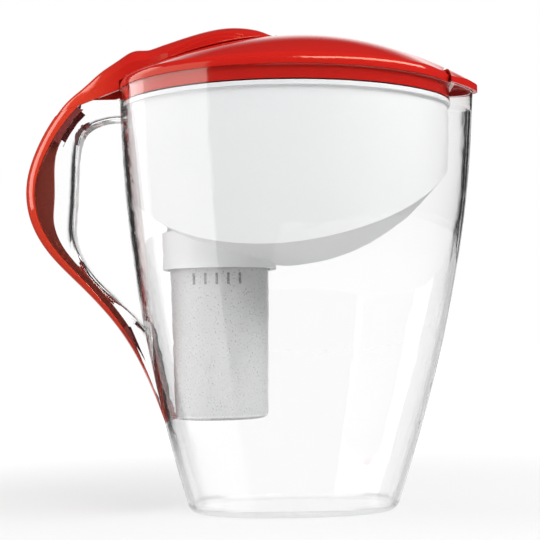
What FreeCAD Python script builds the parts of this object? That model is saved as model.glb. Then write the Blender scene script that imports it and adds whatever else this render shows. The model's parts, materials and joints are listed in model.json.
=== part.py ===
import FreeCAD, Part
import math
import os

from FreeCAD import Vector

# A water filter pitcher, in millimetres
# The origin is the middle of the base, on the surface that it stands on
# +Z is up, +X points to the spout and -X to the handle

# Jug: an oval vessel that widens upwards
jug_height = 232.0
base_half_length = 56.0
rim_half_length = 91.0
base_half_depth = 49.0
rim_half_depth = 64.5
oval_power = 2.3            # 2 is an ellipse, more is squarer
jug_wall = 3.4
jug_floor = 3.5
base_edge_radius = 3.0

# Rim: arched from handle to spout, thinner above the ledge that carries the hopper
rim_arch_radius = 850.0
rim_arch_x = -8.0
rim_wall = 1.9
ledge_depth = 10.4

# Spout: a beak that grows from the base to the rim, with a crease on each side near the top
spout_reach = 11.8
spout_half_width = 25.0
spout_tip_radius = 5.0
crease_softness = 1.2
crease_fade = 7.0
crease_low = 160.0
crease_high = 205.0

# Handle: each pair is how far the line stands off the jug's wall, and its height
handle_width = 23.0
handle_side_wall = 2.6
handle_top = 223.0
finger_edge_radius = 3.5
grip_line = [(11.5, 239.0), (29.0, 224.5), (47.0, 198.0), (54.5, 174.5), (50.5, 149.5),
             (31.0, 122.5), (11.0, 92.5), (1.7, 59.0), (-0.5, 44.0)]
finger_line = [(-6.0, 212.0), (8.0, 212.0), (19.0, 207.0), (24.5, 192.0), (28.0, 165.0), (30.0, 148.0),
               (24.0, 131.0), (8.5, 111.5), (-6.0, 80.0)]

# Handle cover: a crowned strap along the grip line, with two flanges inside the handle's channel
cover_width = 26.0
cover_crown = 5.4
cover_crown_share = 0.85      # of the thickness, where the strap is thin
cover_foot_thickness = 1.0
cover_grip_thickness = 6.3
cover_stations = 16
flange_thickness = 2.0
flange_edge_depth = 2.5
flange_belly_depth = 8.0
flange_belly_height = 172.0
flange_belly_length = 25.0
flange_low = 92.0
flange_high = 212.0

# Lid: a dome with a lip on the rim and a skirt inside it
lid_lip = 5.0
lid_rise = 19.5
lid_wall = 2.4
lid_edge_radius = 5.0
skirt_depth = 7.0
skirt_thickness = 2.0
dome_side_power = 2.1
dome_end_power = 0.4

# Fill opening in the lid, under the hatch
fill_x = -40.0
fill_half_length = 19.0
fill_half_depth = 15.0
fill_collar_depth = 5.0
fill_collar_wall = 2.0

# Fill hatch: a leaf along the lid's spine, whose tail covers the top of the handle
hatch_front_x = -4.0
hatch_hinge_x = -4.8
hatch_wall = 2.4
hatch_spine = [(-126.0, 215.6), (-122.0, 221.3), (-110.6, 231.5), (-102.0, 239.0), (-91.0, 246.3),
               (-85.0, 250.0), (-81.5, 251.0), (-74.5, 251.2), (-70.0, 252.5), (-63.0, 254.7),
               (-46.0, 259.5), (-34.0, 261.7), (-22.0, 261.8), (-13.5, 260.4), (-8.0, 258.4), (-4.0, 256.6)]
hatch_side = [(-126.0, 13.0), (-92.0, 13.4), (-66.0, 18.5), (-38.0, 23.0), (-20.0, 17.5), (-10.0, 9.0), (-4.0, 5.4)]
hatch_crown = [(-126.0, 7.6), (-95.0, 7.6), (-55.0, 8.0), (-30.0, 7.6), (-14.0, 4.2), (-4.0, 1.0)]
hatch_crown_power = 3.0
hatch_nose = 9.0
tail_seam_left = (-122.0, 217.2)
tail_seam_right = (-92.0, 227.6)

# Hinges of the hatch and the flap: a knuckle with two trunnions between two ears of the lid
knuckle_radius = 2.4
trunnion_radius = 1.2
trunnion_gap = 0.06
ear_thickness = 3.4
hinge_room = 3.7              # radius that the lid leaves free around a knuckle
hatch_hinge_z = 254.3
hatch_knuckle_half = 6.0
flap_hinge_x = 87.5
flap_hinge_z = 234.8
flap_knuckle_half = 5.0
hinge_bed = 6.0

# Pour flap
flap_wall = 2.2
flap_overhang = 2.0

# Hopper: a tub inside the jug, with a hull underneath and a socket for the filter
hopper_gap = 0.7
hopper_wall = 2.0
flange_step = 2.3
keel_z = 132.0
keel_x = -3.0
keel_radius = 103.0
bilge_z = 143.0
bilge_x = -12.0
bilge_radius = 133.0

# Filter cartridge: an oval cup that narrows downwards
filter_x = -38.0
filter_low = 50.0
filter_collar = 132.0
filter_shoulder = 150.0
filter_top = 166.0
filter_low_half_length = 25.2
filter_half_length = 27.0
filter_longer = 8.5           # how much more the oval measures across than along
filter_step = 1.6
filter_wall = 1.5
filter_edge_radius = 2.5
socket_wall = 1.8
socket_lip = 1.6
seal_low = 132.8
seal_height = 2.6
seal_proud = 0.1
mesh_thickness = 0.8
media_low = 52.3
media_high = 147.0
media_gap = 0.2
vent_low = 121.5
vent_high = 127.5
vent_width = 1.4
slot_length = 44.0
slot_width = 2.0
slot_pitch = 6.0
slots_each_side = 2
fin_length = 22.0
fin_width = 3.0
fin_height = 8.0

# Clearances
seat_gap = 0.3
slide_gap = 0.4
running_gap = 0.4

# How far working blocks reach past the part
beyond = 2.2 * rim_half_length

# Points that a smooth outline is drawn through, more of them where it follows the spout
oval_points = 36
spout_points = 72
spout_crowding = 0.6

# Plans that the vessel and a rounded edge are drawn through, and the grid of a curved surface
vessel_steps = 8
rounding_steps = 4
surface_rows = 36
surface_columns = 16


def smooth_step(value, low, high):
    """0 up to low, 1 from high on, with no kink between them."""
    share = min(max((value - low) / (high - low), 0.0), 1.0)
    return share * share * (3.0 - 2.0 * share)


def widened(z, low, high):
    """A size of the jug at height z: low at the base, high at the rim."""
    return low + (high - low) * (1.0 - (1.0 - z / jug_height) ** 2)


def rounding(radius):
    """Pairs of rise and inset along a quarter circle."""
    turns = [math.pi / 2.0 * i / rounding_steps for i in range(rounding_steps + 1)]
    return [(radius * (1.0 - math.cos(turn)), radius * (1.0 - math.sin(turn))) for turn in turns]


def wall_x(z):
    """Where the jug's outer wall stands at height z, on the handle's side."""
    return -widened(z, base_half_length, rim_half_length)


def spout_bulge(y, z):
    """How far the spout stands out of the oval at height z, y from its middle."""
    from_tip = math.hypot(y, spout_tip_radius) - spout_tip_radius
    flank = spout_reach * (1.0 - from_tip / spout_half_width)
    softness = crease_softness + crease_fade * (1.0 - smooth_step(z, crease_low, crease_high))
    return (flank + math.hypot(flank, softness)) / 2.0 * z / jug_height


def power_oval(half_length, half_depth, angle):
    """A point of a squarish oval."""
    cosine = math.cos(angle)
    sine = math.sin(angle)
    x = half_length * math.copysign(abs(cosine) ** (2.0 / oval_power), cosine)
    y = half_depth * math.copysign(abs(sine) ** (2.0 / oval_power), sine)
    return x, y


def closed_curve(points):
    """A smooth closed wire through the points."""
    curve = Part.BSplineCurve()
    curve.interpolate(Points=points, PeriodicFlag=True, Parameters=[float(i) for i in range(len(points) + 1)])
    return Part.Wire([curve.toShape()])


def open_curve(points):
    """A smooth edge through the points."""
    curve = Part.BSplineCurve()
    curve.interpolate(Points=points)
    return curve.toShape()


def oval_wire(center_x, z, half_length, half_depth):
    """A squarish oval around center_x, at height z."""
    points = []
    for i in range(oval_points):
        x, y = power_oval(half_length, half_depth, 2.0 * math.pi * i / oval_points)
        points.append(Vector(center_x + x, y, z))
    return closed_curve(points)


def outline(z, inset, spout, size_z=None):
    """The jug's plan at the height size_z, drawn at z and moved inwards by inset."""
    size_z = z if size_z is None else size_z
    half_length = widened(size_z, base_half_length, rim_half_length) - inset
    half_depth = widened(size_z, base_half_depth, rim_half_depth) - inset
    if not spout:
        return oval_wire(0.0, z, half_length, half_depth)
    points = []
    for i in range(spout_points):
        turn = 2.0 * math.pi * i / spout_points
        x, y = power_oval(half_length, half_depth, turn - spout_crowding * math.sin(turn))
        if x > 0.0:
            x += spout_bulge(y, size_z)
        points.append(Vector(x, y, z))
    return closed_curve(points)


def vessel(low, high, inset, spout):
    """The jug's tapering form between two heights, moved inwards by inset."""
    heights = [low + (high - low) * i / vessel_steps for i in range(vessel_steps + 1)]
    return Part.makeLoft([outline(z, inset, spout) for z in heights], True, False)


def rim_prism(low, high, inset, spout):
    """An upright block with the plan of the rim."""
    return Part.Face(outline(low, inset, spout, jug_height)).extrude(Vector(0, 0, high - low))


def arch_height(x):
    """Height of the arched rim."""
    return jug_height - rim_arch_radius + math.sqrt(rim_arch_radius ** 2 - (x - rim_arch_x) ** 2)


def across(face):
    """A face of the side view, drawn out across the whole part."""
    face.translate(Vector(0, -beyond, 0))
    return face.extrude(Vector(0, 2.0 * beyond, 0))


def side_face(edges):
    """A face of the side view inside the edges."""
    return Part.Face(Part.Wire(edges))


def below_arch(lift):
    """Everything under the rim's arch, raised by lift."""
    top = [Vector(x, 0, arch_height(x) + lift) for x in (-beyond, 0.0, beyond)]
    corners = [Vector(beyond, 0, -beyond), Vector(-beyond, 0, -beyond)]
    edges = [Part.Arc(*top).toShape()]
    for start, end in zip([top[2]] + corners, corners + [top[0]]):
        edges.append(Part.makeLine(start, end))
    return across(side_face(edges))


def below_surface(height, x_low, x_high, y_reach):
    """Everything under the surface z = height(x, y), over a rectangle of the plan."""
    across_y = [y_reach * (2.0 * i / surface_columns - 1.0) for i in range(surface_columns + 1)]
    grid = []
    for i in range(surface_rows + 1):
        x = x_low + (x_high - x_low) * i / surface_rows
        grid.append([Vector(x, y, height(x, y)) for y in across_y])
    surface = Part.BSplineSurface()
    surface.interpolate(grid)
    return surface.toShape().extrude(Vector(0, 0, -beyond))


def cylinder_across(x, z, radius, y_low, y_high):
    """A round bar along Y."""
    return Part.makeCylinder(radius, y_high - y_low, Vector(x, y_low, z), Vector(0, 1, 0))


def box_between(low, high):
    """A box between two corners."""
    return Part.makeBox(high[0] - low[0], high[1] - low[1], high[2] - low[2], Vector(*low))


def one_solid(shape):
    """The shape's main solid, with faces that run on joined."""
    return max(shape.removeSplitter().Solids, key=lambda solid: solid.Volume)


# Handle lines

def stand_off(line):
    """Points of the side view from pairs of stand-off and height."""
    return [Vector(wall_x(z) - off, 0, z) for off, z in line]


def cover_thickness(z):
    """Thickness of the handle cover at height z."""
    foot_z = grip_line[-1][1]
    share = (z - foot_z) / (flange_belly_height - foot_z)
    return cover_foot_thickness + (cover_grip_thickness - cover_foot_thickness) * share


def grip_stations():
    """Points and inward directions, evenly spaced along the outside of the handle cover."""
    curve = Part.BSplineCurve()
    curve.interpolate(Points=stand_off(grip_line))
    length = curve.length()
    stations = []
    for i in range(cover_stations + 1):
        parameter = curve.parameterAtDistance(length * i / cover_stations, curve.FirstParameter)
        point = curve.value(parameter)
        along = curve.tangent(parameter)[0]
        stations.append((point, Vector(-along.z, 0, along.x)))
    return stations


def handle_back(depth):
    """Points on the inside of the cover, moved further in by depth."""
    return [point + inward * (cover_thickness(point.z) + depth) for point, inward in grip_stations()]


def flange_depth(z):
    """How far the cover's flanges go into the handle at height z."""
    from_belly = (z - flange_belly_height) / flange_belly_length
    return flange_edge_depth + flange_belly_depth * math.exp(-from_belly ** 2)


def channel_face(gap):
    """Side view of a flange, or of its channel with a gap around it."""
    outer = []
    inner = []
    for point, inward in grip_stations():
        if flange_low - gap <= point.z <= flange_high + gap:
            start = point + inward * cover_thickness(point.z)
            outer.append(start - inward)
            inner.append(start + inward * (flange_depth(point.z) + gap))
    edges = [open_curve(outer), Part.makeLine(outer[-1], inner[-1])]
    edges += [open_curve(inner), Part.makeLine(inner[0], outer[0])]
    return Part.Face(Part.Wire(Part.__sortEdges__(edges)))


def slab(face, low, high):
    """A face of the side view, given a thickness from y = low to y = high."""
    face = face.copy()
    face.translate(Vector(0, low, 0))
    return face.extrude(Vector(0, high - low, 0))


# Jug

def finger_gap(grown, y):
    """The finger gap's outline at y, made larger by grown."""
    curve = Part.BSplineCurve()
    curve.interpolate(Points=stand_off(finger_line))
    points = []
    for point in stand_off(finger_line):
        along = curve.tangent(curve.parameter(point))[0]
        points.append(point + Vector(-along.z, 0, along.x) * -grown + Vector(0, y, 0))
    return Part.Wire([open_curve(points), Part.makeLine(points[-1], points[0])])


def rounded_finger_gap(half):
    """The finger gap through the handle, whose edges are rounded on both flanks."""
    one_half = [(0.0, 0.0), ((half - finger_edge_radius) / 2.0, 0.0)]
    one_half += [(half - inset, rise) for rise, inset in rounding(finger_edge_radius)]
    other_half = [(-y, grown) for y, grown in reversed(one_half[1:])]
    return Part.makeLoft([finger_gap(grown, y) for y, grown in other_half + one_half], True, False)


def handle():
    """The clear handle, which reaches into the jug's wall."""
    back = [point for point in handle_back(seat_gap) if point.z < handle_top]
    root_depth = 3.0 * jug_wall
    root_low = Vector(wall_x(back[-1].z) + root_depth, 0, back[-1].z)
    root_high = Vector(wall_x(handle_top) + root_depth, 0, handle_top)
    top = Vector(back[0].x, 0, handle_top)
    corners = [back[-1], root_low, root_high, top, back[0]]
    edges = [open_curve(back)]
    edges += [Part.makeLine(start, end) for start, end in zip(corners, corners[1:])]
    half = handle_width / 2.0
    block = slab(side_face(edges), -half, half)
    block = block.cut(rounded_finger_gap(half)).common(below_seam(-seat_gap))
    channel_half = half - handle_side_wall
    return block.cut(slab(channel_face(slide_gap), -channel_half, channel_half))


def rounded_foot():
    """The lowest stretch of the jug, rounded down to the base."""
    return Part.makeLoft([outline(z, inset, True) for z, inset in rounding(base_edge_radius)], True, False)


def make_jug():
    """The vessel with its spout, ledge and handle."""
    body = vessel(base_edge_radius, jug_height, 0.0, True)
    body = body.fuse([rounded_foot(), handle()])
    body = body.cut(vessel(jug_floor, jug_height + ledge_depth, jug_wall, True))
    above_ledge = rim_prism(jug_height - 2.0 * ledge_depth, jug_height + ledge_depth, rim_wall, True)
    body = body.cut(above_ledge.cut(below_arch(-ledge_depth)))
    return one_solid(body.common(below_arch(0.0)))


def make_handle_cover(jug):
    """The crowned strap and its two flanges."""
    half = cover_width / 2.0
    sections = []
    for point, inward in grip_stations():
        thickness = cover_thickness(point.z)
        crown = min(cover_crown, cover_crown_share * thickness)
        side = Vector(0, half, 0)
        left_edge = point + inward * crown - side
        right_edge = point + inward * crown + side
        left_back = point + inward * thickness - side
        right_back = point + inward * thickness + side
        edges = [Part.Arc(left_edge, point, right_edge).toShape()]
        corners = [right_edge, right_back, left_back, left_edge]
        edges += [Part.makeLine(start, end) for start, end in zip(corners, corners[1:])]
        sections.append(Part.Wire(edges))
    strap = Part.makeLoft(sections, True, False)
    channel_half = handle_width / 2.0 - handle_side_wall - slide_gap
    flange = channel_face(0.0)
    for sign in (-1.0, 1.0):
        edges = sorted((sign * channel_half, sign * (channel_half - flange_thickness)))
        strap = strap.fuse(slab(flange, *edges))
    lid_room = rim_prism(flange_high, 2.0 * jug_height, -slide_gap, False)
    strap = strap.common(below_seam(-seat_gap)).cut(lid_room)
    return one_solid(strap.cut(jug))


# Lid

def below_seam(lift):
    """Everything under the seam between the handle and the hatch's tail."""
    rise = (tail_seam_right[1] - tail_seam_left[1]) / (tail_seam_right[0] - tail_seam_left[0])
    ends = []
    for x in (-beyond, 0.0):
        ends.append(Vector(x, 0, tail_seam_left[1] + rise * (x - tail_seam_left[0]) + lift))
    corners = [ends[0], ends[1], Vector(0, 0, -beyond), Vector(-beyond, 0, -beyond), ends[0]]
    return across(Part.Face(Part.makePolygon(corners)))


def rim_reach(angle):
    """Distance from the jug's axis to the rim's outline in one direction of the plan."""
    cosine = math.cos(angle)
    sine = math.sin(angle)
    oval = (abs(cosine) / rim_half_length) ** oval_power + (abs(sine) / rim_half_depth) ** oval_power
    reach = oval ** (-1.0 / oval_power)
    if cosine > 0.0 and abs(reach * sine) < spout_half_width:
        reach += spout_bulge(reach * sine, jug_height) * cosine
    return reach


def dome_height(x, y):
    """Top of the lid and the pour flap."""
    angle = math.atan2(y, x)
    share = math.hypot(x, y) / rim_reach(angle)
    power = dome_side_power + dome_end_power * math.cos(angle)
    return arch_height(x) + lid_lip + lid_rise * (1.0 - share ** power)


def below_dome(lift):
    """Everything under the lid's dome, raised by lift."""
    x_reach = rim_half_length + 2.0 * spout_reach
    y_reach = rim_half_depth + spout_reach
    return below_surface(lambda x, y: dome_height(x, y) + lift, -x_reach, x_reach, y_reach)


def dome_block(inset, lift, spout):
    """The space over the rim's arch and under the dome."""
    block = rim_prism(jug_height - beyond / 2.0, jug_height + beyond / 2.0, inset, spout)
    return block.common(below_dome(lift))


def fill_oval(low, high, wall):
    """Block with the plan of the fill opening, made larger by wall."""
    plan = oval_wire(fill_x, low, fill_half_length + wall, fill_half_depth + wall)
    return Part.Face(plan).extrude(Vector(0, 0, high - low))


def ears(x, z, knuckle_half, root_x):
    """The lid's two ears at a hinge, with webs to root_x."""
    parts = []
    left, right = sorted((x, root_x))
    inner = knuckle_half + running_gap
    for side in (-1.0, 1.0):
        low, high = sorted((side * inner, side * (inner + ear_thickness)))
        web = box_between((left, low, z - knuckle_radius), (right, high, z + knuckle_radius / 2.0))
        parts.append(web.fuse(cylinder_across(x, z, knuckle_radius, low, high)))
    return parts


def make_lid():
    """The dome with its lip, skirt, fill opening and hinge ears."""
    skirt_outer = rim_wall + slide_gap
    hollow = dome_block(skirt_outer + skirt_thickness, -lid_wall, False)
    shell = dome_block(0.0, 0.0, False).cut(hollow).cut(below_arch(seat_gap))
    top = [edge for edge in shell.Edges if edge.BoundBox.ZMin > arch_height(-rim_half_length) + lid_lip / 2.0
           and edge.BoundBox.YLength > 2.0 * (rim_half_depth - rim_wall)]
    shell = shell.makeFillet(lid_edge_radius, top)
    front = box_between((flap_hinge_x - running_gap / 2.0, -beyond, 0.0), (beyond, beyond, 2.0 * jug_height))
    skirt = rim_prism(jug_height - beyond / 2.0, jug_height + lid_lip, skirt_outer, False)
    skirt = skirt.cut(below_arch(-skirt_depth)).common(below_arch(lid_lip / 2.0)).cut(hollow)
    skirt = skirt.cut(front.cut(below_arch(-running_gap)))
    lid = shell.cut(front).fuse(skirt)
    collar_low = dome_height(fill_x - fill_half_length, fill_half_depth) - lid_wall - fill_collar_depth
    collar = fill_oval(collar_low, 2.0 * jug_height, fill_collar_wall).common(below_dome(-lid_wall / 2.0))
    bed_half = hatch_knuckle_half + ear_thickness
    bed = box_between((hatch_hinge_x - hinge_bed, -bed_half, hatch_hinge_z - hinge_bed),
                      (hatch_hinge_x + hinge_bed, bed_half, 2.0 * jug_height))
    bed = bed.common(below_dome(-lid_wall / 2.0))
    lid = lid.fuse([collar, bed])
    lid = lid.cut(fill_oval(0.0, 2.0 * jug_height, 0.0))
    lid = lid.cut(cylinder_across(flap_hinge_x, flap_hinge_z, hinge_room, -beyond, beyond))
    groove_half = hatch_knuckle_half + running_gap
    lid = lid.cut(cylinder_across(hatch_hinge_x, hatch_hinge_z, hinge_room, -groove_half, groove_half))
    lid = lid.fuse(ears(hatch_hinge_x, hatch_hinge_z, hatch_knuckle_half, hatch_hinge_x + knuckle_radius))
    flap_ears = ears(flap_hinge_x, flap_hinge_z, flap_knuckle_half, flap_hinge_x - 3.0 * knuckle_radius)
    lid = lid.fuse([ear.common(below_dome(0.0)) for ear in flap_ears])
    bore = trunnion_radius + trunnion_gap
    for x, z, half in ((hatch_hinge_x, hatch_hinge_z, hatch_knuckle_half),
                       (flap_hinge_x, flap_hinge_z, flap_knuckle_half)):
        reach = half + 2.0 * running_gap + ear_thickness
        lid = lid.cut(cylinder_across(x, z, bore, -reach, reach))
    return one_solid(lid)


def knuckle(x, z, half):
    """Knuckle and trunnions of a hinge."""
    reach = half + ear_thickness
    trunnions = cylinder_across(x, z, trunnion_radius, -reach, reach)
    return trunnions.fuse(cylinder_across(x, z, knuckle_radius, -half, half))


def ear_room(x, z, half):
    """The room that the lid's ears need in the piece that turns between them."""
    rooms = []
    for side in (-1.0, 1.0):
        low, high = sorted((side * half, side * (half + 2.0 * running_gap + ear_thickness)))
        rooms.append(cylinder_across(x, z, knuckle_radius + running_gap, low, high))
    return rooms


def make_pour_flap():
    """The flap over the spout, hollow underneath."""
    rear = flap_hinge_x + running_gap / 2.0
    front = box_between((rear, -beyond, 0.0), (beyond, beyond, 2.0 * jug_height))
    flap = dome_block(-flap_overhang, 0.0, True).cut(below_arch(seat_gap)).common(front)
    hollow = box_between((rear + flap_wall, -beyond, 0.0), (beyond, beyond, 2.0 * jug_height))
    flap = flap.cut(dome_block(flap_wall - flap_overhang, -flap_wall, True).common(hollow))
    flap = flap.cut(ear_room(flap_hinge_x, flap_hinge_z, flap_knuckle_half))
    return one_solid(flap.fuse(knuckle(flap_hinge_x, flap_hinge_z, flap_knuckle_half)))


# Fill hatch

def curve_by_x(points):
    """A smooth curve whose parameter is x, through pairs of x and a value."""
    places = [Vector(x, 0, value) for x, value in points]
    curve = Part.BSplineCurve()
    curve.interpolate(Points=places, Parameters=[x for x, value in points])
    return curve


def hatch_plan(inset, low, high):
    """Block with the hatch's plan, moved inwards by inset."""
    one_side = [Vector(x, half - inset, low) for x, half in hatch_side]
    one_side[0].x += inset
    one_side[-1].x -= inset
    other_side = [Vector(point.x, -point.y, point.z) for point in one_side]
    edges = [open_curve(one_side), Part.makeLine(one_side[-1], other_side[-1])]
    edges += [open_curve(other_side), Part.makeLine(other_side[0], one_side[0])]
    wire = Part.Wire(Part.__sortEdges__(edges))
    return Part.Face(wire).extrude(Vector(0, 0, high - low))


def beside_rim():
    """The space on the handle's side of the rim."""
    return box_between((-beyond, -beyond, -beyond), (jug_wall - rim_half_length, beyond, 2.0 * jug_height))


def make_fill_hatch():
    """The leaf with its tail, hollow underneath, and its hinge."""
    spine = curve_by_x(hatch_spine)
    side = curve_by_x(hatch_side)
    crown = curve_by_x(hatch_crown)

    def leaf_height(x, y):
        drop = crown.value(x).z * (abs(y) / side.value(x).z) ** hatch_crown_power
        return spine.value(x).z - drop

    def below_leaf(lift):
        y_reach = max(half for x, half in hatch_side) + hatch_wall
        return below_surface(lambda x, y: leaf_height(x, y) + lift, hatch_spine[0][0], hatch_front_x, y_reach)

    low = jug_height / 2.0
    high = 2.0 * jug_height
    leaf = hatch_plan(0.0, low, high).common(below_leaf(0.0))
    hollow = hatch_plan(hatch_wall, low, high).common(below_leaf(-hatch_wall))
    nose = box_between((hatch_front_x - hatch_nose, -beyond, low), (beyond, beyond, high))
    leaf = leaf.cut(hollow.cut(nose))
    lid_room = rim_prism(low, high, -running_gap, False).common(below_dome(running_gap))
    web = box_between((hatch_hinge_x - knuckle_radius, -hatch_knuckle_half, hatch_hinge_z),
                      (hatch_front_x, hatch_knuckle_half, high))
    leaf = leaf.cut(lid_room.cut(web))
    leaf = leaf.cut(below_seam(0.0).common(beside_rim()))
    leaf = leaf.cut(ear_room(hatch_hinge_x, hatch_hinge_z, hatch_knuckle_half))
    return one_solid(leaf.fuse(knuckle(hatch_hinge_x, hatch_hinge_z, hatch_knuckle_half)))


# Hopper and filter

def circle_arc(x, low, center_x, radius):
    """Height of a hanging arc at x."""
    return low + radius - math.sqrt(max(radius ** 2 - (x - center_x) ** 2, 0.0))


def hull_height(x, y):
    """Underside of the hopper."""
    share = (y / rim_half_depth) ** 2
    keel = circle_arc(x, keel_z, keel_x, keel_radius)
    bilge = circle_arc(x, bilge_z, bilge_x, bilge_radius)
    return keel + (bilge - keel) * share


def below_hull(lift):
    """Everything under the hopper's hull, raised by lift."""
    x_reach = rim_half_length
    return below_surface(lambda x, y: hull_height(x, y) + lift, -x_reach, x_reach, rim_half_depth)


def filter_half(z):
    """Half length of the filter's cup at height z."""
    share = (z - filter_low) / (filter_shoulder - filter_low)
    return filter_low_half_length + (filter_half_length - filter_low_half_length) * share


def filter_inside(z):
    """Half length of the room in the filter's cup at height z."""
    return filter_half(z) - filter_wall


def filter_plan(z, half):
    """The filter's plan at height z."""
    return oval_wire(filter_x, z, half, half + filter_longer)


def filter_block(low, low_half, high, high_half):
    """A block of the filter's plan that changes evenly from one height to another."""
    return Part.makeLoft([filter_plan(low, low_half), filter_plan(high, high_half)], True, True)


def filter_foot():
    """The rounded bottom of the filter."""
    plans = []
    for rise, inset in rounding(filter_edge_radius):
        z = filter_low + rise
        plans.append(filter_plan(z, filter_half(z) - inset))
    return Part.makeLoft(plans, True, False)


def make_hopper():
    """The tub with its flange, hull and socket."""
    inset = jug_wall + hopper_gap
    low = keel_z - hopper_wall
    top_drop = ledge_depth - seat_gap - flange_step
    tub = vessel(low, jug_height, inset, False).cut(below_hull(0.0))
    flange = rim_prism(jug_height - beyond / 2.0, jug_height, rim_wall + slide_gap, False)
    flange = flange.cut(below_arch(seat_gap - ledge_depth))
    socket_half = filter_half_length + filter_step + slide_gap + socket_wall
    socket_low = filter_collar - seat_gap - socket_lip
    socket = filter_block(socket_low, socket_half, filter_shoulder, socket_half)
    socket = socket.common(below_hull(hopper_wall / 2.0)).common(tub.fuse(below_hull(hopper_wall)))
    hopper = tub.fuse([flange, socket])
    inside = vessel(low, jug_height, inset + hopper_wall, False).cut(below_hull(hopper_wall))
    hopper = hopper.cut(inside).common(below_arch(-top_drop))
    bore_half = socket_half - socket_wall
    lip_half = filter_half_length + slide_gap
    hopper = hopper.cut(filter_block(socket_low + socket_lip, bore_half, filter_top, bore_half))
    hopper = hopper.cut(filter_block(low - beyond, lip_half, socket_low + socket_lip, lip_half))
    return one_solid(hopper)


def slots(low, high, half_length, half_width):
    """A row of slots along the filter, between two heights."""
    row = []
    for i in range(-slots_each_side, slots_each_side + 1):
        x = filter_x + i * slot_pitch
        row.append(box_between((x - half_width, -half_length, low), (x + half_width, half_length, high)))
    return row


def seal_ring(outer):
    """A ring around the filter at the seal's height."""
    high = seal_low + seal_height
    inner = filter_block(seal_low, filter_half_length, high, filter_half_length)
    return filter_block(seal_low, outer, high, outer).cut(inner)


def make_cartridge_shell():
    """The cup of the filter, with a collar that rests in the hopper's socket, and slots for the water."""
    collar_half = filter_half_length + filter_step
    foot_high = filter_low + filter_edge_radius
    cup = filter_block(foot_high, filter_half(foot_high), filter_collar, filter_half(filter_collar))
    collar = filter_block(filter_collar, collar_half, filter_shoulder, collar_half)
    cup = cup.fuse([filter_foot(), collar])
    inner_low = filter_low + filter_wall
    top_half = filter_inside(filter_shoulder)
    cup = cup.cut(filter_block(inner_low, filter_inside(inner_low), filter_shoulder, top_half))
    cup = cup.cut(seal_ring(collar_half + filter_wall))
    cup = cup.cut(slots(vent_low, vent_high, beyond, vent_width / 2.0))
    return one_solid(cup.cut(slots(0.0, inner_low + filter_wall, slot_length / 2.0, slot_width / 2.0)))


def make_cartridge_seal():
    """The soft ring in the collar's groove."""
    return one_solid(seal_ring(filter_half_length + filter_step + seal_proud))


def make_cartridge_cap():
    """The slotted top of the filter, with a fin to lift it by."""
    half = filter_half_length + filter_step
    roof = filter_top - filter_wall
    cap = filter_block(filter_shoulder, half, filter_top, half - 2.0 * filter_wall)
    cap = cap.cut(filter_block(filter_shoulder, half - filter_wall, roof, half - 3.0 * filter_wall))
    cap = cap.cut(slots(roof - filter_wall, 2.0 * filter_top, slot_length / 2.0, slot_width / 2.0))
    fin = box_between((filter_x - fin_length / 2.0, -fin_width / 2.0, roof),
                      (filter_x + fin_length / 2.0, fin_width / 2.0, filter_top + fin_height))
    return one_solid(cap.fuse(fin))


def filter_mesh(low):
    """A screen across the filter's cup."""
    half = filter_inside(low)
    return one_solid(filter_block(low, half, low + mesh_thickness, half))


def make_cartridge_media():
    """The bed of granules between the two screens."""
    low_half = filter_inside(media_low) - media_gap
    return one_solid(filter_block(media_low, low_half, media_high, filter_inside(media_high) - media_gap))


jug = make_jug()
nodes = {
    "jug": jug,
    "handle_cover": make_handle_cover(jug),
    "hopper": make_hopper(),
    "lid": make_lid(),
    "fill_hatch": make_fill_hatch(),
    "pour_flap": make_pour_flap(),
    "cartridge_shell": make_cartridge_shell(),
    "cartridge_cap": make_cartridge_cap(),
    "cartridge_seal": make_cartridge_seal(),
    "cartridge_top_mesh": filter_mesh(media_high),
    "cartridge_media": make_cartridge_media(),
    "cartridge_bottom_mesh": filter_mesh(media_low - mesh_thickness),
}
os.makedirs("parts", exist_ok=True)
for name, shape in nodes.items():
    shape.exportStep("parts/" + name + ".step")
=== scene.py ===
import json
import math

import bmesh
import bpy
from mathutils import Matrix, Vector
from mathutils.bvhtree import BVHTree


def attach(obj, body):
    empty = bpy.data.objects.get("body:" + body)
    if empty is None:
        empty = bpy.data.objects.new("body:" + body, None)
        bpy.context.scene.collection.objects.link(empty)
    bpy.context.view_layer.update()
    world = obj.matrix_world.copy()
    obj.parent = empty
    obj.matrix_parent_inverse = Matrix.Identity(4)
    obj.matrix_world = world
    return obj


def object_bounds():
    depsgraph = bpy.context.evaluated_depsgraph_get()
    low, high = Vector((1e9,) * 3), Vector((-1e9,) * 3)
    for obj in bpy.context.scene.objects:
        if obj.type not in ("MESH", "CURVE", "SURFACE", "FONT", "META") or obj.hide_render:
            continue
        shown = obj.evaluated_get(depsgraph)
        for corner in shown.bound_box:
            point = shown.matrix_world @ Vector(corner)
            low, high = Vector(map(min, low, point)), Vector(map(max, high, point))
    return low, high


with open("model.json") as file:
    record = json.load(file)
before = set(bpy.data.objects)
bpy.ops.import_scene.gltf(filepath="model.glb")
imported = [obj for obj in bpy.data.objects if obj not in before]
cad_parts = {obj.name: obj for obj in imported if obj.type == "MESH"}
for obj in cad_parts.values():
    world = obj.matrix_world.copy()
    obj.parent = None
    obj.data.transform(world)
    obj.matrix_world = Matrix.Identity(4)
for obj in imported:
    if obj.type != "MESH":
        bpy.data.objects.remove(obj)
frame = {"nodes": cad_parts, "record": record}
cad_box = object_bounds()
scene = bpy.context.scene

# Lengths are in metres. +X points to the spout, -X to the handle, +Z up, and the camera looks along +Y.


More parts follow.
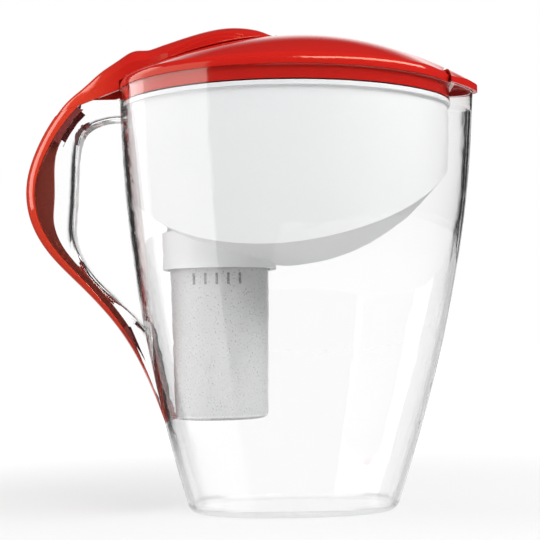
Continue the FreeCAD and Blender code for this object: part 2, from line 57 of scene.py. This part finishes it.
class Signal:
    """A node's output, with the sums that a finish is worked out by."""

    def __init__(self, finish, output):
        self.finish = finish
        self.output = output

    def sum_node(self, operation, first, second):
        return self.finish.add("ShaderNodeMath", {"operation": operation}, {0: first, 1: second})

    def __add__(self, other):
        return self.sum_node("ADD", self, other)

    def __radd__(self, other):
        return self.sum_node("ADD", other, self)

    def __sub__(self, other):
        return self.sum_node("SUBTRACT", self, other)

    def __rsub__(self, other):
        return self.sum_node("SUBTRACT", other, self)

    def __mul__(self, other):
        return self.sum_node("MULTIPLY", self, other)

    def __rmul__(self, other):
        return self.sum_node("MULTIPLY", other, self)

    def size(self):
        return self.sum_node("ABSOLUTE", self, 0.0)

    def at_most(self, other):
        return self.sum_node("MINIMUM", self, other)


class Finish:
    """The nodes of one material or of the world."""

    def __init__(self, owner):
        owner.use_nodes = True
        self.tree = owner.node_tree
        self.tree.nodes.clear()

    def add(self, kind, settings=None, sockets=None, output=0):
        """Adds a node: its settings first, then the values or links of its sockets."""
        node = self.tree.nodes.new(kind)
        for name, value in (settings or {}).items():
            if name == "stops":
                ramp = node.color_ramp.elements
                while len(ramp) < len(value):
                    ramp.new(1.0)
                for stop, (place, colour) in zip(ramp, value):
                    stop.position = place
                    stop.color = colour
            else:
                setattr(node, name, value)
        for name, value in (sockets or {}).items():
            if isinstance(value, Signal):
                self.tree.links.new(value.output, node.inputs[name])
            else:
                node.inputs[name].default_value = value
        if len(node.outputs):
            return Signal(self, node.outputs[output])

    def place(self):
        """Object coordinates."""
        return self.add("ShaderNodeTexCoord", output="Object")

    def along(self, vector, axis):
        """A vector's share along X, Y or Z."""
        return self.add("ShaderNodeSeparateXYZ", {}, {"Vector": vector}, axis)

    def ray(self, kind):
        """1 for rays of this kind, 0 for others."""
        return self.add("ShaderNodeLightPath", output=f"Is {kind} Ray")

    def noise(self, scale, detail):
        """Soft irregular noise around one half."""
        return self.add("ShaderNodeTexNoise", {}, {"Vector": self.place(), "Scale": scale, "Detail": detail})

    def between(self, share, low, high):
        """A colour between low and high."""
        return self.add("ShaderNodeMix", {"data_type": "RGBA"}, {0: share, 6: low, 7: high}, 2)

    def ramp(self, value, *stops):
        """A grey between stops of place and grey."""
        colours = [(place, (grey, grey, grey, 1.0)) for place, grey in stops]
        return self.add("ShaderNodeValToRGB", {"stops": colours}, {0: value})

    def fall(self, value, start, end, low):
        """1 up to start, low from end on, with no kink between them."""
        sockets = {"Value": value, "From Min": start, "From Max": end, "To Min": 1.0, "To Max": low}
        return self.add("ShaderNodeMapRange", {"interpolation_type": "SMOOTHSTEP"}, sockets)

    def bump(self, height, strength, distance):
        """A normal that follows the height."""
        sockets = {"Height": height, "Strength": strength, "Distance": distance}
        return self.add("ShaderNodeBump", {}, sockets)

    def mixed(self, share, first, second):
        """Two shaders, mixed."""
        return self.add("ShaderNodeMixShader", {}, {0: share, 1: first, 2: second})

    def surface(self, shader):
        """Ends the material with this shader."""
        self.add("ShaderNodeOutputMaterial", {}, {"Surface": shader})


def material(name, make):
    """A material whose nodes come from make."""
    made = bpy.data.materials.new(name)
    make(Finish(made))
    return made


# Finishes

clear_tint = (0.967, 0.967, 0.967, 1.0)
foot_height = 0.02        # up to here the jug's thick foot holds light back
foot_shade = 0.4
ring_start = 0.0015       # below these heights the foot's rounded ring is mostly plain to look through
ring_end = 0.0055
ring_plain = 0.75

# The next four mark the strap and the lid's tail, which get a warmer red: partly their own more orange red,
# partly a painted orange reflection of the left softbox.
strap_left = -0.115       # left of these, or below the next two, a red face is on the strap or the tail
strap_right = -0.085
strap_low = 0.17
strap_high = 0.20
# The next three pairs find the flanges in the handle's channel, which get painted shade: the dark red below
# stands for the shade inside the channel.
channel_half = 0.009      # the cover's flanges lie nearer to the middle plane than this,
channel_edge = 0.0005
flange_start = -0.087     # left of these,
flange_end = -0.083
askew_start = 0.01        # and face sideways, within these shares
askew_end = 0.03
flange_roughness = 0.4
channel_shade_dark = (0.10, 0.008, 0.006, 1.0)
channel_shade_light = (0.24, 0.02, 0.016, 1.0)


def lets_lamps_through(finish, shader, passing=1.0, plain=0.0):
    """The shader, but clear to the rays that carry light to what is behind it.

    passing is the share of that light that each face lets through, and plain the share of the other rays
    that go straight on."""
    shadow = finish.ray("Shadow")
    diffuse = finish.ray("Diffuse")
    clear = finish.add("ShaderNodeBsdfTransparent", {}, {"Color": clear_tint})
    light = (shadow + diffuse).at_most(1.0)
    return finish.mixed(light * passing + (1.0 - light) * plain, shader, clear)


def clear_plastic(finish):
    """Polished clear moulding, uneven as a moulded wall is. Its thick foot throws a soft shadow."""
    wave = finish.noise(14.0, 1.0)
    polish = finish.noise(60.0, 3.0)
    shader = finish.add("ShaderNodeBsdfPrincipled", {}, {
        "Base Color": (0.99, 0.99, 0.99, 1.0),
        "Roughness": finish.ramp(polish, (0.35, 0.0), (0.75, 0.03)),
        "IOR": 1.5,
        "Transmission Weight": 1.0,
        "Normal": finish.bump(wave, 0.05, 0.002),
    })
    height = finish.along(finish.place(), "Z")
    passing = 1.0 - finish.fall(height, 0.0, foot_height, 0.0) * foot_shade
    plain = finish.fall(height, ring_start, ring_end, 0.0) * ring_plain
    finish.surface(lets_lamps_through(finish, shader, passing, plain))


def red_plastic(finish):
    """Glossy red moulding, warmer on the strap (partly its own red, partly a painted orange reflection), and
    duller with a dark red of painted shade on the flanges in the handle's channel.
    """
    cloud = finish.noise(9.0, 2.0)
    speck = finish.noise(900.0, 2.0)
    peel = finish.noise(260.0, 1.0)
    where = finish.place()
    across = finish.along(where, "X")
    from_middle = finish.along(where, "Y").size()
    height = finish.along(where, "Z")
    sideways = finish.along(finish.add("ShaderNodeNewGeometry", output="Normal"), "Y").size()

    # Warmer red on the strap and the lid's tail: partly the strap's own more orange red, partly a painted
    # orange reflection of the left softbox.
    at_handle = finish.fall(across, strap_left, strap_right, 0.0)
    under_lid = finish.fall(height, strap_low, strap_high, 0.0)
    strap = (at_handle + under_lid).at_most(1.0)
    deep = finish.between(cloud, (0.50, 0.011, 0.008, 1.0), (0.57, 0.017, 0.012, 1.0))
    warm_red_and_painted_sheen = finish.between(cloud, (0.61, 0.040, 0.018, 1.0), (0.69, 0.050, 0.024, 1.0))
    red = finish.between(strap, deep, warm_red_and_painted_sheen)

    # Painted shade: a dull dark red on the flanges inside the handle's channel, where shade falls. These
    # faces are also rougher.
    in_channel = finish.fall(from_middle, channel_half, channel_half + channel_edge, 0.0)
    side_on = finish.fall(1.0 - sideways, askew_start, askew_end, 0.0)
    channel_shade_mask = in_channel * side_on * finish.fall(across, flange_start, flange_end, 0.0)
    channel_shade = finish.between(speck, channel_shade_dark, channel_shade_light)
    shine = finish.ramp(speck, (0.3, 0.08), (0.7, 0.13))
    shader = finish.add("ShaderNodeBsdfPrincipled", {}, {
        "Base Color": finish.between(channel_shade_mask, red, channel_shade),
        "Roughness": shine + channel_shade_mask * flange_roughness,
        "IOR": 1.6,
        "Specular Tint": (1.0, 0.66, 0.42, 1.0),
        "Coat Weight": 0.1,
        "Coat Roughness": 0.04,
        "Normal": finish.bump(peel, 0.04, 0.0004),
    })
    finish.surface(shader)


def channel_shade_plastic(finish):
    """Dull red, darkened as painted shade, for the faces beside the handle's channel."""
    speck = finish.noise(900.0, 2.0)
    shader = finish.add("ShaderNodeBsdfPrincipled", {}, {
        "Base Color": finish.between(speck, channel_shade_dark, channel_shade_light),
        "Roughness": finish.ramp(speck, (0.3, 0.45), (0.7, 0.55)),
        "Normal": finish.bump(speck, 0.1, 0.0003),
    })
    finish.surface(shader)


def white_plastic(finish):
    """Milky moulding with a fine spark-eroded grain."""
    cloud = finish.noise(12.0, 3.0)
    grain = finish.noise(1500.0, 2.0)
    shader = finish.add("ShaderNodeBsdfPrincipled", {}, {
        "Base Color": finish.between(cloud, (0.80, 0.81, 0.82, 1.0), (0.88, 0.88, 0.88, 1.0)),
        "Roughness": finish.ramp(grain, (0.3, 0.38), (0.7, 0.55)),
        "IOR": 1.49,
        "Normal": finish.bump(grain, 0.25, 0.0003),
    })
    finish.surface(shader)


def filter_plastic(finish):
    """Translucent cup that shows the granules behind it."""
    cloud = finish.noise(30.0, 3.0)
    grain = finish.noise(1200.0, 2.0)
    shader = finish.add("ShaderNodeBsdfPrincipled", {}, {
        "Base Color": finish.between(cloud, (0.83, 0.84, 0.85, 1.0), (0.90, 0.90, 0.90, 1.0)),
        "Roughness": finish.ramp(grain, (0.3, 0.26), (0.7, 0.38)),
        "IOR": 1.49,
        "Transmission Weight": 0.62,
        "Normal": finish.bump(grain, 0.15, 0.0003),
    })
    finish.surface(lets_lamps_through(finish, shader))


def seal_rubber(finish):
    """Soft pale ring."""
    grain = finish.noise(700.0, 3.0)
    shader = finish.add("ShaderNodeBsdfPrincipled", {}, {
        "Base Color": finish.between(grain, (0.66, 0.67, 0.68, 1.0), (0.74, 0.75, 0.76, 1.0)),
        "Roughness": finish.ramp(grain, (0.3, 0.6), (0.7, 0.75)),
        "Normal": finish.bump(grain, 0.3, 0.0003),
    })
    finish.surface(shader)


def woven_screen(finish):
    """Fine square weave."""
    weave = []
    for direction in ("X", "Y"):
        sockets = {"Vector": finish.place(), "Scale": 420.0}
        weave.append(finish.add("ShaderNodeTexWave", {"bands_direction": direction}, sockets, "Fac"))
    threads = weave[0] * weave[1]
    shader = finish.add("ShaderNodeBsdfPrincipled", {}, {
        "Base Color": finish.between(threads, (0.70, 0.70, 0.68, 1.0), (0.90, 0.90, 0.88, 1.0)),
        "Roughness": 0.7,
        "Normal": finish.bump(threads, 0.6, 0.0005),
    })
    finish.surface(shader)


def granules(finish):
    """Bed of grey and dark granules."""
    cells = {"Vector": finish.place(), "Scale": 900.0}
    tint = finish.add("ShaderNodeTexVoronoi", {}, cells, "Color")
    gap = finish.add("ShaderNodeTexVoronoi", {}, cells, "Distance")
    grey = finish.add("ShaderNodeRGBToBW", {}, {0: tint})
    stops = [(0.0, (0.14, 0.14, 0.14, 1.0)), (0.35, (0.28, 0.28, 0.28, 1.0)), (1.0, (0.46, 0.46, 0.45, 1.0))]
    shader = finish.add("ShaderNodeBsdfPrincipled", {}, {
        "Base Color": finish.add("ShaderNodeValToRGB", {"stops": stops}, {0: grey}),
        "Roughness": 0.8,
        "Normal": finish.bump(1.0 - gap, 0.8, 0.0008),
    })
    finish.surface(shader)


finishes = {
    "clear_plastic": material("clear_plastic_moulding", clear_plastic),
    "red_plastic": material("red_plastic_moulding", red_plastic),
    "white_plastic": material("white_plastic_moulding", white_plastic),
    "filter_plastic": material("filter_cup_moulding", filter_plastic),
    "seal_rubber": material("pale_seal", seal_rubber),
    "filter_mesh": material("woven_filter_screen", woven_screen),
    "filter_media": material("filter_granules", granules),
}
for subpart in frame["record"]["subparts"]:
    node = frame["nodes"][subpart["node"]]
    node.data.materials.clear()
    node.data.materials.append(finishes[subpart["material_slot"]])


def add_piece(name, shape, finish):
    """An object of this shape and finish, at the origin."""
    mesh = bpy.data.meshes.new(name)
    shape.to_mesh(mesh)
    shape.free()
    mesh.materials.append(finish)
    piece = bpy.data.objects.new(name, mesh)
    scene.collection.objects.link(piece)
    return piece


def new_verts(grown):
    """The vertices among what an operator made."""
    return [part for part in grown if isinstance(part, bmesh.types.BMVert)]


# Plates of the handle cover, which hug the handle's flanks where the cover's flanges end, coloured dark red
# as painted shade of the channel. An outline's points are X and Z.

lip_low_y = 0.01165
lip_high_y = 0.0128
lip_edge = 0.0003
lip_segments = 2
lip_outside = [(-0.1273, 0.2016), (-0.1258, 0.2040), (-0.1228, 0.2084), (-0.1179, 0.2147), (-0.1133, 0.2194)]
lip_inside = [(-0.1109, 0.2173), (-0.1155, 0.2126), (-0.1198, 0.2064), (-0.1223, 0.2021), (-0.1234, 0.1997)]
taper_outside = [(-0.0910, 0.0988), (-0.0846, 0.0882), (-0.0792, 0.0773)]
taper_inside = [(-0.0786, 0.0776), (-0.0807, 0.0836), (-0.0830, 0.0891), (-0.0878, 0.1006)]
# The dull dark red of painted channel shade, for the cover plates.
channel_shade_red = material("channel_shade_moulding", channel_shade_plastic)


def cover_plate(name, outline, low_y, high_y):
    """A plate of the side view between two widths, with softened edges."""
    shape = bmesh.new()
    corners = [shape.verts.new((x, low_y, z)) for x, z in outline]
    face = shape.faces.new(corners)
    grown = bmesh.ops.extrude_face_region(shape, geom=[face])["geom"]
    bmesh.ops.translate(shape, verts=new_verts(grown), vec=(0.0, high_y - low_y, 0.0))
    bmesh.ops.recalc_face_normals(shape, faces=shape.faces[:])
    bmesh.ops.bevel(shape, geom=shape.edges[:], offset=lip_edge, offset_type="OFFSET", affect="EDGES",
                    segments=lip_segments, profile=0.5, material=-1)
    plate = add_piece(name, shape, channel_shade_red)
    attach(plate, "jug")


for plate_name, plate_outline in (("cover_lip", lip_outside + lip_inside),
                                  ("cover_taper", taper_outside + taper_inside)):
    cover_plate(f"{plate_name}_near", plate_outline, -lip_high_y, -lip_low_y)
    cover_plate(f"{plate_name}_far", plate_outline, lip_low_y, lip_high_y)


# Bead along the foot of the hatch's leaf, which follows the lid under it

bead_radius = 0.00045
bead_gap = 0.0005
bead_sides = 10
bead_steps = 60
bead_turns = 3            # each point is found in a few turns between the lid and the leaf
bead_start = -0.0866
bead_end = -0.0130
leaf_reach = 0.05         # rays onto the leaf start this far out
leaf_foot = 0.014         # the leaf's half-width at bead_start
over_lid = 2.0 * cad_box[1][2]


def surface_of(node_name):
    """A node's mesh at rest, to be met by rays."""
    mesh = frame["nodes"][node_name].data
    points = [point.co for point in mesh.vertices]
    return BVHTree.FromPolygons(points, [face.vertices for face in mesh.polygons])


lid_surface = surface_of("lid")
leaf_surface = surface_of("fill_hatch")


def bead_path(side):
    """Points along the foot of the leaf on one side."""
    points = []
    y = side * leaf_foot
    for i in range(bead_steps + 1):
        x = bead_start + (bead_end - bead_start) * i / bead_steps
        for turn in range(bead_turns):
            lid_point = lid_surface.ray_cast((x, y, over_lid), (0.0, 0.0, -1.0))[0]
            z = lid_point.z + bead_gap + bead_radius
            y = leaf_surface.ray_cast((x, side * leaf_reach, z), (0.0, -side, 0.0))[0].y
        points.append(Vector((x, y, z)))
    return points


def leaf_bead(name, side):
    """A thin round bar along the foot of the leaf."""
    path = bead_path(side)
    shape = bmesh.new()
    stand = Matrix.Translation(path[0]) @ Matrix.Rotation(math.pi / 2.0, 4, "Y")
    bmesh.ops.create_circle(shape, cap_ends=False, segments=bead_sides, radius=bead_radius, matrix=stand)
    ring = shape.edges[:]
    for start, end in zip(path, path[1:]):
        grown = bmesh.ops.extrude_edge_only(shape, edges=ring)["geom"]
        moved = new_verts(grown)
        bmesh.ops.translate(shape, verts=moved, vec=end - start)
        edges = [part for part in grown if isinstance(part, bmesh.types.BMEdge)]
        ring = [edge for edge in edges if all(vert in moved for vert in edge.verts)]
    bmesh.ops.holes_fill(shape, edges=shape.edges[:], sides=bead_sides)
    bmesh.ops.recalc_face_normals(shape, faces=shape.faces[:])
    for face in shape.faces:      # the sides are round and the ends flat
        face.smooth = len(face.verts) == 4
    bead = add_piece(name, shape, finishes["red_plastic"])
    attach(bead, "fill_hatch")


leaf_bead("leaf_bead_near", -1.0)
leaf_bead("leaf_bead_far", 1.0)


# Floor and room

floor_half = 6.0
paper_grey = (0.68, 0.68, 0.68, 1.0)
lit_radius = 0.08         # the floor's own light and shadow show most up to here, and fade out by fade_radius
fade_radius = 0.6
floor_glow = 0.5          # the share of plain white in what the eye sees of the floor near the object
through_white = 1.08      # the white of the floor and the backdrop, seen through clear plastic
open_start = -0.25        # left of these, reflections pass through the floor, and elsewhere a share does
open_end = -0.10
open_right = 0.35
side_start = 0.04         # the backdrop's edges, as the square of the direction's X
side_end = 0.2
backdrop_start = 0.5      # the backdrop lies behind, between these shares of the direction's Y
backdrop_end = 0.2
ceiling_start = 0.35      # and ends upward between these shares of the direction's Z
ceiling_end = 0.6
room_grey = 0.03
soft_light = 0.3


def pale_floor(finish):
    """Pale paper that shows the shadow near the object and runs out to white, also behind clear plastic."""
    paper = finish.add("ShaderNodeBsdfDiffuse", {}, {"Color": paper_grey})
    where = finish.place()
    distance = finish.add("ShaderNodeVectorMath", {"operation": "LENGTH"}, {0: where}, "Value")
    far = 1.0 - finish.fall(distance, lit_radius, fade_radius, 0.0) * (1.0 - floor_glow)
    white = finish.add("ShaderNodeEmission", {}, {"Strength": through_white})
    seen = (finish.ray("Camera") * far + finish.ray("Transmission")).at_most(1.0)
    lit = finish.mixed(seen, paper, white)
    across = finish.along(where, "X")
    open_share = finish.ray("Glossy") * finish.fall(across, open_start, open_end, open_right)
    gone = finish.add("ShaderNodeBsdfTransparent")
    finish.surface(finish.mixed(open_share, lit, gone))


def studio(finish):
    """White to the eye, soft light to most rays, and a white backdrop in a dark room to reflections and clear
    edges."""
    direction = finish.add("ShaderNodeTexCoord", output="Generated")
    across = finish.along(direction, "X")
    behind = finish.along(direction, "Y")
    height = finish.along(direction, "Z")
    sides = finish.fall(across * across, side_start, side_end, 0.0)
    ceiling = finish.fall(height, ceiling_start, ceiling_end, 0.0)
    backdrop = finish.fall(0.0 - behind, -backdrop_start, -backdrop_end, 0.0) * ceiling * sides
    seen = finish.ray("Camera")
    bent = (finish.ray("Glossy") + finish.ray("Transmission")).at_most(1.0)
    rest = 1.0 - (seen + bent).at_most(1.0)
    strength = seen + bent * (backdrop * (through_white - room_grey) + room_grey) + rest * soft_light
    background = finish.add("ShaderNodeBackground", {}, {"Color": (1.0, 1.0, 1.0, 1.0), "Strength": strength})
    finish.add("ShaderNodeOutputWorld", {}, {"Surface": background})


floor_shape = bmesh.new()
bmesh.ops.create_grid(floor_shape, x_segments=1, y_segments=1, size=floor_half)
floor = add_piece("floor", floor_shape, material("pale_paper", pale_floor))

scene.world = bpy.data.worlds.new("studio")
studio(Finish(scene.world))


# Lamps. The left screen goes on below the floor, so that its reflection runs down to the jug's foot.

lamp_target = (0.0, 0.0, 0.14)


def soft_box(name, place, size, energy):
    """A rectangular lamp that faces the target."""
    lamp = bpy.data.lights.new(name, "AREA")
    lamp.shape = "RECTANGLE"
    lamp.size, lamp.size_y = size
    lamp.energy = energy
    holder = bpy.data.objects.new(name, lamp)
    holder.location = place
    holder.rotation_euler = (Vector(lamp_target) - Vector(place)).to_track_quat("-Z", "Y").to_euler()
    scene.collection.objects.link(holder)


soft_box("left_screen", (-1.00, -0.50, 0.05), (1.32, 2.2), 14.0)
soft_box("rear_screen", (-1.06, 0.30, 0.60), (0.55, 1.1), 5.0)
soft_box("front_screen", (0.85, -0.65, 1.15), (2.2, 0.45), 28.0)


# Camera, fitted to the photograph. Its lens is in millimetres and its angles are in radians.

lens_length = 103.63
sensor_width = 36.0
camera_place = (-0.00375, -0.84903, 0.09615)
yaw = -0.0080
pitch = 0.0394
roll = -0.0180

lens_data = bpy.data.cameras.new("camera")
lens_data.sensor_width = sensor_width
lens_data.lens = lens_length
ahead = Vector((math.sin(yaw) * math.cos(pitch), math.cos(yaw) * math.cos(pitch), math.sin(pitch)))
level = Vector((math.cos(yaw), -math.sin(yaw), 0.0))
upright = level.cross(ahead)
right = level * math.cos(roll) + upright * math.sin(roll)
up = upright * math.cos(roll) - level * math.sin(roll)
turned = Matrix((right, up, -ahead)).transposed().to_4x4()
camera = bpy.data.objects.new("camera", lens_data)
camera.matrix_world = Matrix.Translation(camera_place) @ turned
scene.collection.objects.link(camera)
scene.camera = camera

scene.view_settings.view_transform = "Standard"
